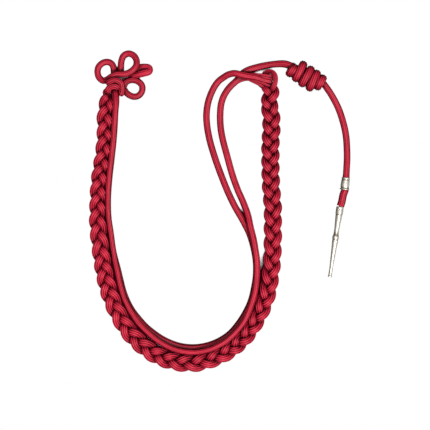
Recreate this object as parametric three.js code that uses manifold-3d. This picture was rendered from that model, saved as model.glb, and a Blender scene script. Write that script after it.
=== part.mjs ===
// A red aiguillette, lying flat: a U of three-strand plait, two plain loop cords beside it,
// a trefoil with a button loop at its left end, and a knotted pendant with a bead and a metal tip.
// Millimetres, +Z up. Seen from above, the U is open at the top and the pendant hangs at the right.
import * as THREE from "three";
import { mergeVertices } from "three/addons/utils/BufferGeometryUtils.js";
import Module from "manifold-3d";

const wasm = await Module();
wasm.setup();

// Cords
const cordDiameter = 6.2; // plain loop cords, pendant cord and petals
const strandDiameter = 4.9; // a plait strand, pressed thinner than a free cord
const collarDiameter = 5.2; // the binding cord of the trefoil, drawn tight
const buttonCordDiameter = 5.4; // the button loop, twisted half on edge
const clearance = 0.3; // between cords that touch

// Plait
const legSpan = 175; // between the centre lines of the two legs, at the widest
const plaitDrop = 271; // from the head of the right leg to the bottom of the U
const plaitLift = 1.9; // the left leg rides on the hidden loop cord
const strandSwing = 5.9; // side to side, from the centre line to a strand's own centre line
const strandRise = 3.9; // up and down, likewise
const strandSteepness = 0.15; // how much sooner a strand rises than an even wave does
const scallopPitch = 14.3; // average distance between two bulges of one edge
const scallopFraction = 0.815; // of a pitch, left over after the whole scallops
const headPhase = -1.76; // radians, where strand 1 is in its swing at the plait's head

// Pendant knot
const knotPitch = 7.8; // from wrap to wrap
const knotTilt = -27; // degrees, the knot's axis against the horizontal
const knotRise = 6.2; // vertical reach of a wrap's centre line
const wrapDiameter = 6.6;
const coreDiameter = 8;
const coreOverhang = 1; // how far the core stands out past the middles of the end wraps
const knotCentre = { across: 17.3, up: -10.4 };

// Pendant metal
const beadLength = 12.2;
const beadBarrelDiameter = 8.8;
const beadFlangeDiameter = 9.8;
const beadFlangeLength = 1.6;
const beadBoreDiameter = cordDiameter + 2 * clearance;
const beadCentre = { across: 56.3, up: -117.8 };
const beadTilt = 7; // degrees off the vertical of the plan
const tipLength = 70.4;
const collarBandDiameter = 7.4;
const bulgeDiameter = 6.5;
const neckDiameter = 4.9;
const tipEndDiameter = 3.5;
const tipRimDiameter = 4;
const tipTop = { across: 51.3, up: -140.8 };
const tipTilt = 8.3; // degrees off the vertical of the plan

const cordRadius = cordDiameter / 2;
const strandRadius = strandDiameter / 2;
const stackPitch = cordDiameter + clearance;
const facetShortfall = 0.15; // how much less a faceted strand reaches down than a round one
const plaitHeight = strandRise + strandRadius - facetShortfall; // the plait's centre line
const secondLayer = cordRadius + stackPitch; // a cord that lies on another
const knotHeight = knotRise + wrapDiameter / 2;
const beadHeight = beadFlangeDiameter / 2;

const red = { color: 0xb3203a, roughness: 0.72, metalness: 0 };
const nickel = { color: 0xc9c4ba, roughness: 0.28, metalness: 1 };

function mesh(name, geometry, finish) {
  const piece = new THREE.Mesh(geometry, new THREE.MeshStandardMaterial(finish));
  piece.name = name;
  return piece;
}

function roundSection(diameter, sides) {
  const section = new THREE.Shape();
  for (let side = 0; side < sides; side += 1) {
    const angle = ((side + 0.5) / sides) * 2 * Math.PI;
    const x = (diameter / 2) * Math.cos(angle);
    const y = (diameter / 2) * Math.sin(angle);
    if (side === 0) section.moveTo(x, y);
    else section.lineTo(x, y);
  }
  section.closePath();
  return section;
}

function sweep(path, diameter, sides, steps) {
  return new THREE.ExtrudeGeometry(roundSection(diameter, sides), {
    steps,
    bevelEnabled: false,
    extrudePath: path,
  });
}

function tubeAlong(points, diameter, sides, steps) {
  const path = new THREE.CatmullRomCurve3(points, false, "centripetal");
  path.arcLengthDivisions = points.length * 24;
  return sweep(path, diameter, sides, steps);
}

// A path whose steps fall on its points, so that crossing strands bend at the same places.
class StepwisePath extends THREE.CatmullRomCurve3 {
  getPointAt(share, target) {
    return this.getPoint(share, target);
  }

  getTangentAt(share, target) {
    return this.getTangent(share, target);
  }
}

function route(rows, from = new THREE.Vector3()) {
  return rows.map(([across, up, height]) => new THREE.Vector3(across, up, height).add(from));
}

function cord(name, points, { diameter = cordDiameter, sides = 8, steps }) {
  return mesh(name, tubeAlong(points, diameter, sides, steps), red);
}

// The plait's centre line, from the right head round the U to the left head.
// across is a share of legSpan, down of plaitDrop and lift of plaitLift.
const plaitLine = [
  { across: 0.979, down: -0.03, lift: 0 },
  { across: 0.983, down: 0.03, lift: 0 },
  { across: 0.986, down: 0.14, lift: 0 },
  { across: 0.987, down: 0.295, lift: 0 },
  { across: 1.0, down: 0.48, lift: 0 },
  { across: 0.999, down: 0.613, lift: 0 },
  { across: 0.982, down: 0.708, lift: 0 },
  { across: 0.932, down: 0.804, lift: 0 },
  { across: 0.836, down: 0.9, lift: 0 },
  { across: 0.699, down: 0.969, lift: 0 },
  { across: 0.527, down: 1.0, lift: 0 },
  { across: 0.356, down: 0.976, lift: 0 },
  { across: 0.196, down: 0.895, lift: 0 },
  { across: 0.093, down: 0.779, lift: 0 },
  { across: 0.03, down: 0.635, lift: 0 },
  { across: 0.002, down: 0.469, lift: 0.4 },
  { across: 0.005, down: 0.343, lift: 1 },
  { across: 0.036, down: 0.199, lift: 1 },
  { across: 0.05, down: 0.074, lift: 1 },
  { across: 0.082, down: -0.015, lift: 1 },
];
const plaitCorner = { across: -87.3, up: 119 }; // where across and down are 0

// How tight the plait is: the pitch of a scallop against the average, along the plait.
const plaitTightness = [
  { at: 0.0, pitch: 0.87 },
  { at: 0.13, pitch: 0.88 },
  { at: 0.2, pitch: 0.98 },
  { at: 0.34, pitch: 1.07 },
  { at: 0.6, pitch: 1.05 },
  { at: 0.82, pitch: 1.03 },
  { at: 0.93, pitch: 0.93 },
  { at: 0.96, pitch: 1.1 },
  { at: 1.0, pitch: 1.15 },
];

const plaitCurve = new THREE.CatmullRomCurve3(
  plaitLine.map(
    ({ across, down, lift }) =>
      new THREE.Vector3(
        plaitCorner.across + across * legSpan,
        plaitCorner.up - down * plaitDrop,
        plaitHeight + lift * plaitLift,
      ),
  ),
  false,
  "centripetal",
);
plaitCurve.arcLengthDivisions = 1200;
const plaitLength = plaitCurve.getLength();
const rightHead = plaitCurve.getPointAt(0).setZ(0);
const leftHead = plaitCurve.getPointAt(1).setZ(0);
const wholeScallops = Math.floor(plaitLength / scallopPitch);

function pitchAt(share) {
  const next = Math.max(1, plaitTightness.findIndex(({ at }) => at >= share));
  const [low, high] = [plaitTightness[next - 1], plaitTightness[next]];
  return THREE.MathUtils.mapLinear(share, low.at, high.at, low.pitch, high.pitch);
}

// The swing's phase along the plait, as equal steps of length, from summed pitches.
const phaseSteps = 600;
const scallopsDone = [0];
for (let step = 1; step <= phaseSteps; step += 1) {
  scallopsDone.push(scallopsDone[step - 1] + 1 / pitchAt((step - 0.5) / phaseSteps));
}

const turnPerScallop = (2 * Math.PI) / 3;
const allScallops = wholeScallops + scallopFraction;

function shareAt(scallops) {
  const wanted = (scallops / allScallops) * scallopsDone[phaseSteps];
  const after = Math.max(1, scallopsDone.findIndex((done) => done >= wanted));
  const [low, high] = [scallopsDone[after - 1], scallopsDone[after]];
  return (after - 1 + (wanted - low) / (high - low)) / phaseSteps;
}

// A point of a strand at a phase: it swings across once a period, and rises and falls twice.
function strandPoint(index, phase) {
  const share = shareAt((phase - headPhase) / turnPerScallop - index);
  const centre = plaitCurve.getPointAt(share);
  const along = plaitCurve.getTangentAt(share);
  const outward = new THREE.Vector3(-along.y, along.x, 0).normalize();
  centre.addScaledVector(outward, strandSwing * Math.sin(phase));
  centre.z -= strandRise * (Math.sin(2 * phase) + strandSteepness * Math.sin(4 * phase));
  return centre;
}

// How each strand comes into the plait, as points from the right head: the tail under the outer
// cord, the strand that starts hidden, and the head loop that goes over the cords' ends.
const strandStarts = [
  [
    [-22.5, 6.5, 3],
    [-18.5, 5.8, 3],
    [-14, 4.4, 3],
    [-9.4, 2.1, 3.6],
  ],
  [],
  [
    [-7.4, 7.5, 2.9],
    [-5.4, 10.5, 4.6],
    [-1.4, 12.2, 7],
    [3, 10.9, 9.2],
    [6.2, 6.9, 10.4],
    [6.4, 2.5, 10.8],
  ],
];

// How it leaves, as points from the left head, by where it is in its swing there: one ends under
// the loop cord, one goes on as the last turn inside the collar, and one ends under that turn.
// short is in scallops.
const strandEnds = [
  { short: 0.9, points: [] },
  {
    short: 0.2,
    points: [
      [-5.6, -2.7, 7.6],
      [-2.8, 0.3, 8.6],
      [1.2, 1.7, 8.8],
      [4.6, 1.5, 8.4],
    ],
  },
  { short: 0.2, points: [] },
];
const bend = Math.PI / 6; // a strand is straight between two bends, and crosses others at a bend
const strandSides = 6;

function plaitStrand(index) {
  const leaving = strandEnds[(index + wholeScallops) % 3];
  const first = headPhase + index * turnPerScallop;
  const last = first + (allScallops - leaving.short) * turnPerScallop;
  const points = route(strandStarts[index], rightHead);
  for (let phase = Math.ceil(first / bend) * bend; phase <= last; phase += bend) {
    points.push(strandPoint(index, phase));
  }
  points.push(...route(leaving.points, leftHead));
  const path = new StepwisePath(points, false, "centripetal");
  return mesh(
    `plait_strand_${index + 1}`,
    sweep(path, strandDiameter, strandSides, points.length - 1),
    red,
  );
}

// The loop cords' centre lines, as across, up and height of points along them. They are drawn
// beside a U of the drawn size, and stretch with it.
const drawnSpan = 175;
const drawnDrop = 271;

function besidePlait(rows) {
  return rows.map(
    ([across, up, height]) =>
      new THREE.Vector3(
        plaitCorner.across + ((across - plaitCorner.across) * legSpan) / drawnSpan,
        plaitCorner.up + ((up - plaitCorner.up) * plaitDrop) / drawnDrop,
        height,
      ),
  );
}

const outerLoopRoute = [
  [84, 132, 8],
  [76.4, 132.6, secondLayer],
  [65.7, 134.4, secondLayer],
  [56.8, 136.6, secondLayer],
  [49.6, 137.5, secondLayer - 0.4],
  [42, 135.8, 7.2],
  [35.5, 131.6, 4.6],
  [30.4, 125.4, 3.2],
  [26.2, 117.6, cordRadius],
  [22.6, 108, cordRadius],
  [21.2, 96, cordRadius],
  [22, 84, cordRadius],
  [24.8, 70, cordRadius],
  [29, 56, cordRadius],
  [34.5, 41.5, cordRadius],
  [41.8, 20, cordRadius],
  [49.8, 4.6, cordRadius],
  [58.8, -9.7, cordRadius],
  [65, -23.1, cordRadius],
  [68.8, -36.5, cordRadius],
  [71, -51, cordRadius],
  [71, -65, cordRadius],
  [69.3, -76.5, cordRadius],
  [66.2, -89.5, cordRadius],
  [60.6, -101.9, cordRadius],
  [53.2, -112.9, cordRadius],
  [43.8, -124.1, cordRadius],
  [29.6, -132.6, cordRadius],
  [15.3, -136.4, cordRadius],
  [-7.7, -134.4, cordRadius],
  [-26.1, -126.2, cordRadius],
  [-44.7, -109.5, cordRadius],
  [-58.8, -87.3, cordRadius],
  [-67.3, -58.3, cordRadius],
  [-71, -40.4, cordRadius],
  [-73.6, -22.6, cordRadius],
  [-76, -6, cordRadius],
  [-76.8, 13, cordRadius],
  [-75.2, 31, cordRadius],
  [-72.1, 55, cordRadius],
  [-69.9, 73, cordRadius],
  [-67.8, 96, cordRadius],
  [-66.5, 110.5, cordRadius],
];

const innerLoopRoute = [
  [-71, 118.8, 12.8],
  [-69.8, 114.4, 13.6],
  [-68.6, 106, 13.8],
  [-68.6, 93, 13.6],
  [-70.2, 73, 13.4],
  [-72.1, 55, 13.4],
  [-75.2, 31, 13.3],
  [-76.8, 13, 13],
  [-76.2, -6, 11.6],
  [-73.6, -22.6, secondLayer],
  [-71.1, -40.4, secondLayer],
  [-67.7, -58.3, secondLayer],
  [-60.4, -86.9, secondLayer],
  [-47.9, -108.3, 9.4],
  [-27.3, -127, 9.2],
  [-2.3, -138.6, 9.6],
  [24.5, -137.8, 12.2],
  [44.5, -127, 13.3],
  [59.6, -109.2, 13],
  [68.6, -86.9, 11.2],
  [72.1, -69, 9.4],
  [73.5, -51.7, 9.4],
  [72.1, -38.3, 9.2],
  [70.2, -27.6, 8.6],
  [67.2, -16, 7.5],
  [63.9, -4.4, 5.2],
  [58.8, 8.1, 3.2],
  [53.4, 20.6, cordRadius],
  [47.6, 35.8, cordRadius],
  [42, 56.7, cordRadius],
  [38.5, 71, cordRadius],
  [36.3, 81.7, cordRadius],
  [34.9, 90.6, cordRadius],
  [35.2, 99, cordRadius],
  [36.3, 106.7, cordRadius],
  [38.9, 113.9, cordRadius],
  [43.4, 121, cordRadius],
  [48.6, 127.2, cordRadius],
  [52, 132.6, cordRadius],
  [56.4, 138, cordRadius],
  [63, 141.8, cordRadius],
  [72, 144.7, cordRadius],
  [80.9, 146.7, 3.6],
  [89.8, 147.6, 5],
  [98.8, 147.3, 7],
  [103.9, 145.1, 8.9],
];

// The pendant, from the end of the inner loop cord.
const pendantUpperRoute = [
  [37.4, -22.4, 7.7],
  [40.6, -27.3, 6.4],
  [45.6, -35.8, 4.4],
  [49.8, -44.2, 3.3],
  [53.3, -52.6, cordRadius],
  [56.1, -62.4, cordRadius],
  [57.8, -72.2, cordRadius],
  [58.4, -84, cordRadius],
  [58.3, -92.9, cordRadius],
  [57.8, -101.9, 3.9],
  [57.2, -111, 4.7],
];
const pendantLowerRoute = [
  [56, -124.5, 4.7],
  [54.5, -128.4, 4.3],
  [53.1, -136.1, 3.8],
  [51.7, -139.9, 3.7],
];

// The trefoil, from the left head. Its two large petals are one cord bent over itself.
const trefoilRoute = [
  [1.5, 13.5, 3.1],
  [1.4, 19.7, 3.1],
  [-0.2, 24.5, 3.2],
  [-4.2, 26.7, 3.4],
  [-9.2, 25.7, 3.6],
  [-13.2, 21.5, 3.6],
  [-14.2, 16.3, 3.8],
  [-12.6, 10.7, 4.4],
  [-8.6, 7.5, 5.6],
  [-4.4, 8.5, 7.6],
  [-0.4, 10.9, 9.4],
  [4.9, 12.3, 9.8],
  [10.5, 12, 9.8],
  [16, 12.9, 9.8],
  [20.6, 16.7, 9.9],
  [23.8, 21.9, 9],
  [24.2, 27.5, 7],
  [21, 32.8, 5],
  [16.3, 34.5, 3.8],
  [11.6, 32.5, 3.3],
  [9, 27.4, 3.1],
  [8.3, 20.9, 3.1],
  [8.2, 13.5, 3.1],
];
const petalRoute = [
  [8.8, 1.9, 3.1],
  [12.2, 5.5, 3.1],
  [15.7, 7.2, 3.1],
  [19.4, 8.5, 3.1],
  [23.9, 8.3, 3.1],
  [28.1, 6.4, 3.1],
  [30.8, 3.1, 3.1],
  [31.2, -1, 3.1],
  [29.8, -5.6, 3.1],
  [26.8, -8.5, 3.1],
  [22.7, -9.3, 3.1],
  [18.6, -8.1, 3.1],
  [15.2, -5.9, 3.1],
  [12.4, -3.9, 3.1],
];
const collarRoute = [
  [-5.4, 3.7, 11.6],
  [-2.5, 5.4, 13.2],
  [0.9, 7.1, 14],
  [4.7, 7.2, 14],
  [8.7, 4.7, 12.8],
  [10.1, -0.1, 10.8],
  [9.5, -4.8, 9],
  [8, -8.1, 8.2],
];
const buttonLoopRoute = [
  [19.6, 15.3, 3],
  [24, 17.7, 3],
  [30, 19.5, 3.4],
  [35, 20.7, 4.2],
  [38.5, 20.3, 5],
  [40, 17.9, 6],
  [38.8, 15.7, 7],
  [34.5, 14.5, 7.5],
  [29, 13.7, 7.7],
  [23.8, 12.4, 7.7],
];

// The barrel knot: wraps wound from the upper left to the lower right.
// along is in pitches from the middle wrap, side and reach in millimetres across the knot's axis.
const knotWraps = [
  { along: -2, side: -1.2, reach: 6.6 },
  { along: -1, side: 1.2, reach: 11 },
  { along: 0, side: 0, reach: 11.3 },
  { along: 1, side: -0.4, reach: 10.8 },
  { along: 2, side: 1.1, reach: 8.2 },
];
const wrapSides = 6;
const stepsPerWrap = 12;

function solid(geometry) {
  const bare = geometry.clone();
  bare.deleteAttribute("normal");
  bare.deleteAttribute("uv");
  const merged = mergeVertices(bare, 1e-4);
  return new wasm.Manifold(
    new wasm.Mesh({
      numProp: 3,
      vertProperties: new Float32Array(merged.attributes.position.array),
      triVerts: new Uint32Array(merged.index.array),
    }),
  );
}

function geometryOf(body) {
  const { vertProperties, triVerts } = body.getMesh();
  const geometry = new THREE.BufferGeometry();
  geometry.setAttribute("position", new THREE.BufferAttribute(vertProperties, 3));
  geometry.setIndex(new THREE.BufferAttribute(triVerts, 1));
  return geometry;
}

function knotPoint(turn) {
  const shape = new THREE.CatmullRomCurve3(
    knotWraps.map(({ side, reach }) => new THREE.Vector3(side, reach, 0)),
  );
  const firstTop = 0.25; // of a turn, where the first wrap lies uppermost
  const share = THREE.MathUtils.clamp((turn - firstTop) / (knotWraps.length - 1), 0, 1);
  const { x: side, y: reach } = shape.getPoint(share);
  const along = knotPitch * (turn - firstTop + knotWraps[0].along);
  const swing = reach - wrapDiameter / 2;
  const rise = (knotRise * swing) / (knotWraps[2].reach - wrapDiameter / 2);
  const angle = 2 * Math.PI * turn;
  return new THREE.Vector3(along, side + swing * Math.cos(angle), rise * Math.sin(angle));
}

function pendantKnot() {
  const points = [];
  for (let step = 0; step <= knotWraps.length * stepsPerWrap; step += 1) {
    points.push(knotPoint(step / stepsPerWrap));
  }
  const wraps = tubeAlong(points, wrapDiameter, wrapSides, points.length - 1);
  const halfCore = -knotWraps[0].along * knotPitch + coreOverhang;
  const core = new THREE.LatheGeometry(
    [
      new THREE.Vector2(0, -halfCore),
      new THREE.Vector2(cordRadius, -halfCore),
      new THREE.Vector2(coreDiameter / 2, -knotPitch),
      new THREE.Vector2(coreDiameter / 2, knotPitch),
      new THREE.Vector2(cordRadius, halfCore),
      new THREE.Vector2(0, halfCore),
    ],
    12,
  );
  core.rotateZ(-Math.PI / 2);
  const knot = mesh("pendant_knot", geometryOf(solid(wraps).add(solid(core))), red);
  knot.position.set(knotCentre.across, knotCentre.up, knotHeight);
  knot.rotation.z = THREE.MathUtils.degToRad(knotTilt);
  return knot;
}

function turned(name, profile, sides) {
  const points = profile.map(([radius, along]) => new THREE.Vector2(radius, along));
  return mesh(name, new THREE.LatheGeometry(points, sides), nickel);
}

function slideBead() {
  const half = beadLength / 2;
  const flange = beadFlangeDiameter / 2;
  const barrel = beadBarrelDiameter / 2;
  const bore = beadBoreDiameter / 2;
  const waist = bore + 0.55;
  const shoulder = half - beadFlangeLength;
  const bead = turned(
    "slide_bead",
    [
      [bore, -half],
      [flange, -half],
      [flange, -shoulder],
      [waist, -shoulder + 0.5],
      [barrel, -shoulder / 2],
      [barrel, shoulder / 2],
      [waist, shoulder - 0.5],
      [flange, shoulder],
      [flange, half],
      [bore, half],
      [bore, -half],
    ],
    16,
  );
  bead.position.set(beadCentre.across, beadCentre.up, beadHeight);
  bead.rotation.z = THREE.MathUtils.degToRad(-beadTilt);
  return bead;
}

// The tip's profile, from its end up to the band that grips the cord, in shares of the length.
// It lies on its band and its bulge.
const bandMiddle = 0.05;
const bulgeMiddle = 0.44;
const tipFloorGap = 0.05;

function pendantTip() {
  const band = collarBandDiameter / 2;
  const bulge = bulgeDiameter / 2;
  const neck = neckDiameter / 2;
  const end = tipEndDiameter / 2;
  const rim = tipRimDiameter / 2;
  const profile = [
    [0, -1],
    [rim, -1],
    [rim, -0.985],
    [end, -0.965],
    [end, -0.87],
    [neck, -0.62],
    [bulge * 0.88, -0.515],
    [bulge * 0.9, -0.49],
    [bulge, -0.46],
    [bulge, -0.42],
    [neck, -0.375],
    [neck, -0.32],
    [band * 0.9, -0.125],
    [band, -0.105],
    [band, 0],
    [0, 0],
  ];
  const tip = turned(
    "pendant_tip",
    profile.map(([radius, share]) => [radius, share * tipLength]),
    16,
  );
  const slope = (band - bulge) / ((bulgeMiddle - bandMiddle) * tipLength);
  tip.rotation.order = "ZXY";
  tip.rotation.x = Math.atan(slope);
  tip.rotation.z = THREE.MathUtils.degToRad(-tipTilt);
  tip.position.set(
    tipTop.across,
    tipTop.up,
    bulge + bulgeMiddle * tipLength * slope + tipFloorGap,
  );
  return tip;
}

const trefoil = new THREE.Group();
trefoil.add(
  cord("trefoil_cord", route(trefoilRoute), { steps: 46 }),
  cord("trefoil_petal", route(petalRoute), { steps: 22 }),
  cord("trefoil_collar", route(collarRoute), { diameter: collarDiameter, sides: 6, steps: 14 }),
  cord("button_loop", route(buttonLoopRoute), { diameter: buttonCordDiameter, sides: 6, steps: 20 }),
);
trefoil.position.copy(leftHead);

const own = new THREE.Group();
own.add(plaitStrand(0), plaitStrand(1), plaitStrand(2), trefoil);

const innerLoopPoints = besidePlait(innerLoopRoute);
const pendant = new THREE.Group();
pendant.add(
  pendantKnot(),
  cord("pendant_cord_upper", route(pendantUpperRoute), { steps: 16 }),
  slideBead(),
  cord("pendant_cord_lower", route(pendantLowerRoute), { steps: 5 }),
  pendantTip(),
);
pendant.position.copy(innerLoopPoints.at(-1)).setZ(0);

const free = new THREE.Group();
free.add(
  cord("outer_loop_cord", besidePlait(outerLoopRoute), { steps: 58 }),
  cord("inner_loop_cord", innerLoopPoints, { steps: 62 }),
  pendant,
);

// The origin: the middle of the plait and trefoil, on the surface that they lie on.
const box = new THREE.Box3().setFromObject(own);
const group = new THREE.Group();
group.add(own, free);
group.position.set(-(box.min.x + box.max.x) / 2, -(box.min.y + box.max.y) / 2, -box.min.z);

export default group;
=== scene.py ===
import bisect
import math

import bpy
from mathutils import Matrix, Vector


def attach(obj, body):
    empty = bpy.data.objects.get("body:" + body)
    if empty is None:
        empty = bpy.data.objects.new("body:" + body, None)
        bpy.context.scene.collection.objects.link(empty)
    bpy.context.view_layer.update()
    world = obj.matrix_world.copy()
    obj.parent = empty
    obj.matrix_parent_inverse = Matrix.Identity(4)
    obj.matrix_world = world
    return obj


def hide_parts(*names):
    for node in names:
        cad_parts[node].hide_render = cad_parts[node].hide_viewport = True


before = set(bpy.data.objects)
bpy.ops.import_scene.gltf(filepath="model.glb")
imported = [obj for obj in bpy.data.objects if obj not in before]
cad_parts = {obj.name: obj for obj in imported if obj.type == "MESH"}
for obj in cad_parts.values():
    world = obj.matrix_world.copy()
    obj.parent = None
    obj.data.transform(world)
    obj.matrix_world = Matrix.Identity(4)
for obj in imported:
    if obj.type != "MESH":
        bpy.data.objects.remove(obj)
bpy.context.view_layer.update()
print("frame loaded:", len(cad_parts), "nodes")

mm = 0.001
originShift = Vector((-0.266, -0.310, 0.077))  # from the drawing's millimetres to the part's own frame
scene = bpy.context.scene


# Camera, floor and light

cameraSetup = {
    "height": 2.2, "frameWidth": 0.43, "aimX": 0.0297, "aimY": -0.0043, "focusZ": 0.006,
    "sensorWidth": 36, "farthest": 20,
}
lightSetup = {
    "skyBright": 0.74, "skyDark": 0.03, "skyLow": 0.5, "skyHigh": 0.97, "skyLean": 0.2,
    "skyTint": (1.0, 0.985, 0.96),
    "keyPlace": (0.6, -0.5, 1.3), "keySize": 0.3, "keyPower": 17.0,
    "topPlace": (-0.05, 0.15, 2.6), "topSize": 0.8, "topPower": 7.0,
}
floorSetup = {
    "half": 4.0, "color": (0.10, 0.10, 0.10, 1), "seenColor": (1, 1, 1, 1), "gapShadeColor": (0.03, 0.0, 0.004, 1),
    "gapReach": 0.03, "gapFacing": (0.0, 0.72, 0.69), "gapSamples": 96, "gapDark": 0.18, "gapLight": 0.24,
}
mixSockets = {"first": 6, "second": 7, "result": 2}  # places of a mix node's colour sockets


class Nodes:  # one node tree
    def __init__(self, tree):
        self.tree = tree

    def add(self, kind, settings=None, **inputs):
        node = self.tree.nodes.new(kind)
        for name, value in (settings or {}).items():
            setattr(node, name, value)
        for name, value in inputs.items():
            self.feed(self.find(node, name), value)
        return node

    def find(self, node, name):  # in0, in1 and so on are sockets by place, as a node may use a name twice
        if name.startswith("in") and name[2:].isdigit():
            return node.inputs[int(name[2:])]
        return node.inputs[name.replace("_", " ")]

    def feed(self, socket, value):
        if isinstance(value, Value):
            value = value.socket
        if isinstance(value, bpy.types.NodeSocket):
            self.tree.links.new(value, socket)
        else:
            socket.default_value = value

    def value(self, node, output=0):
        return Value(self, node.outputs[output])

    def stored(self, name):  # a number that the mesh carries
        return self.value(self.add("ShaderNodeAttribute", {"attribute_name": name}), "Fac")

    def noise(self, place, scale, detail, roughness=0.5):
        return self.value(self.add("ShaderNodeTexNoise", Vector=place, Scale=scale, Detail=detail,
                                   Roughness=roughness))

    def openness(self, samples, **inputs):
        return self.value(self.add("ShaderNodeAmbientOcclusion", {"samples": samples}, **inputs), "AO")

    def facing(self):
        return self.add("ShaderNodeSeparateXYZ", Vector=self.add("ShaderNodeNewGeometry").outputs["Normal"])

    def blend(self, share, first, second):
        node = self.add("ShaderNodeMix", {"data_type": "RGBA"}, in0=share)
        self.feed(node.inputs[mixSockets["first"]], first)
        self.feed(node.inputs[mixSockets["second"]], second)
        return node.outputs[mixSockets["result"]]

    def ramp(self, share, stops):
        node = self.add("ShaderNodeValToRGB", Fac=share)
        elements = node.color_ramp.elements
        while len(elements) < len(stops):
            elements.new(1.0)
        for element, (place, color) in zip(elements, stops):
            element.position = place
            element.color = (*color, 1)
        return node.outputs["Color"]


class Value:  # one number socket that takes part in sums
    def __init__(self, nodes, socket):
        self.nodes, self.socket = nodes, socket

    def math(self, operation, *others):
        node = self.nodes.add("ShaderNodeMath", {"operation": operation}, in0=self)
        for place, other in enumerate(others, 1):
            self.nodes.feed(node.inputs[place], other)
        return Value(self.nodes, node.outputs[0])

    def __add__(self, other):
        return self.math("ADD", other)

    def __sub__(self, other):
        return self.math("SUBTRACT", other)

    def __rsub__(self, other):
        node = self.nodes.add("ShaderNodeMath", {"operation": "SUBTRACT"}, in0=other, in1=self)
        return Value(self.nodes, node.outputs[0])

    def __mul__(self, other):
        return self.math("MULTIPLY", other)

    def __truediv__(self, other):
        return self.math("DIVIDE", other)

    def clamped(self):
        return self.math("MAXIMUM", 0.0).math("MINIMUM", 1.0)

    def cosine(self):
        return self.math("COSINE")

    def sine(self):
        return self.math("SINE")

    def size(self):
        return self.math("ABSOLUTE")


def makeCamera():
    data = bpy.data.cameras.new("camera")
    data.sensor_width = cameraSetup["sensorWidth"]
    distance = cameraSetup["height"] - cameraSetup["focusZ"]
    data.lens = data.sensor_width * distance / cameraSetup["frameWidth"]
    data.clip_end = cameraSetup["farthest"]
    camera = bpy.data.objects.new("camera", data)
    camera.location = (cameraSetup["aimX"], cameraSetup["aimY"], cameraSetup["height"])
    scene.collection.objects.link(camera)
    scene.camera = camera


# Paper that the camera sees as white, with painted shade where it is hemmed in between cords
def makeFloor():
    mesh = bpy.data.meshes.new("floor")
    half = floorSetup["half"]
    corners = [(-half, -half, 0), (half, -half, 0), (half, half, 0), (-half, half, 0)]
    mesh.from_pydata(corners, [], [(0, 1, 2, 3)])
    floor = bpy.data.objects.new("floor", mesh)
    scene.collection.objects.link(floor)
    material = bpy.data.materials.new("floorPaper")
    material.use_nodes = True
    nodes = Nodes(material.node_tree)
    material.node_tree.nodes.clear()
    dark, light = floorSetup["gapDark"], floorSetup["gapLight"]
    # painted shadow: the paper seen by the camera turns dark where little open space is seen around the
    # gapFacing direction
    openness = nodes.openness(floorSetup["gapSamples"], Distance=floorSetup["gapReach"],
                              Normal=floorSetup["gapFacing"])
    color = nodes.blend(((openness - dark) / (light - dark)).clamped(), floorSetup["gapShadeColor"],
                        floorSetup["seenColor"])
    paper = nodes.add("ShaderNodeBsdfDiffuse", Color=floorSetup["color"])
    glow = nodes.add("ShaderNodeEmission", Color=color, Strength=1.0)
    seen = nodes.value(nodes.add("ShaderNodeLightPath"), "Is Camera Ray")
    both = nodes.add("ShaderNodeMixShader", in0=seen, in1=paper.outputs[0], in2=glow.outputs[0])
    nodes.add("ShaderNodeOutputMaterial", Surface=both.outputs[0]).is_active_output = True
    mesh.materials.append(material)


def makeLight(name, place, size, power):
    data = bpy.data.lights.new(name, "AREA")
    data.shape = "DISK"
    data.size = size
    data.energy = power
    light = bpy.data.objects.new(name, data)
    light.location = place
    light.rotation_euler = (-Vector(place)).to_track_quat("-Z", "Y").to_euler()
    scene.collection.objects.link(light)


# A sky that is bright overhead and leans to one side
def makeWorld():
    world = bpy.data.worlds.new("studio")
    world.use_nodes = True
    world.node_tree.nodes.clear()
    nodes = Nodes(world.node_tree)
    place = nodes.add("ShaderNodeTexCoord")
    parts = nodes.add("ShaderNodeSeparateXYZ", Vector=place.outputs["Generated"])
    skyDepth = lightSetup["skyHigh"] - lightSetup["skyLow"]
    up = ((nodes.value(parts, "Z") - lightSetup["skyLow"]) / skyDepth).clamped()
    leaning = nodes.value(parts, "X") * lightSetup["skyLean"] + 1.0
    strength = up * leaning * (lightSetup["skyBright"] - lightSetup["skyDark"]) + lightSetup["skyDark"]
    sky = nodes.add("ShaderNodeBackground", Color=(*lightSetup["skyTint"], 1), Strength=strength)
    nodes.add("ShaderNodeOutputWorld", Surface=sky.outputs[0])
    scene.world = world


makeCamera()
makeFloor()
makeLight("keyLight", lightSetup["keyPlace"], lightSetup["keySize"], lightSetup["keyPower"])
makeLight("topLight", lightSetup["topPlace"], lightSetup["topSize"], lightSetup["topPower"])
makeWorld()
scene.view_settings.view_transform = "Standard"
print("stage set")


# Lines that the cords follow

stepsPerSpan = 12  # points of a smooth line for each span between its rows


# A smooth line through the rows, with the length up to each of its points
def bentLine(rows):
    points = [Vector(row) for row in rows]
    ends = [2 * points[0] - points[1], *points, 2 * points[-1] - points[-2]]
    line = []
    for a, b, c, d in zip(ends, ends[1:], ends[2:], ends[3:]):
        before, middle, after = ((q - p).length ** 0.5 for p, q in ((a, b), (b, c), (c, d)))
        before, after = before or middle, after or middle
        leaving = ((b - a) / before - (c - a) / (before + middle) + (c - b) / middle) * middle
        arriving = ((c - b) / middle - (d - b) / (middle + after) + (d - c) / after) * middle
        for step in range(stepsPerSpan):
            t = step / stepsPerSpan
            line.append(b + leaving * t + (3 * (c - b) - 2 * leaving - arriving) * t * t
                        + (2 * (b - c) + leaving + arriving) * t ** 3)
    line.append(points[-1])
    lengths = [0.0]
    for p, q in zip(line, line[1:]):
        lengths.append(lengths[-1] + (q - p).length)
    return line, lengths


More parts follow.
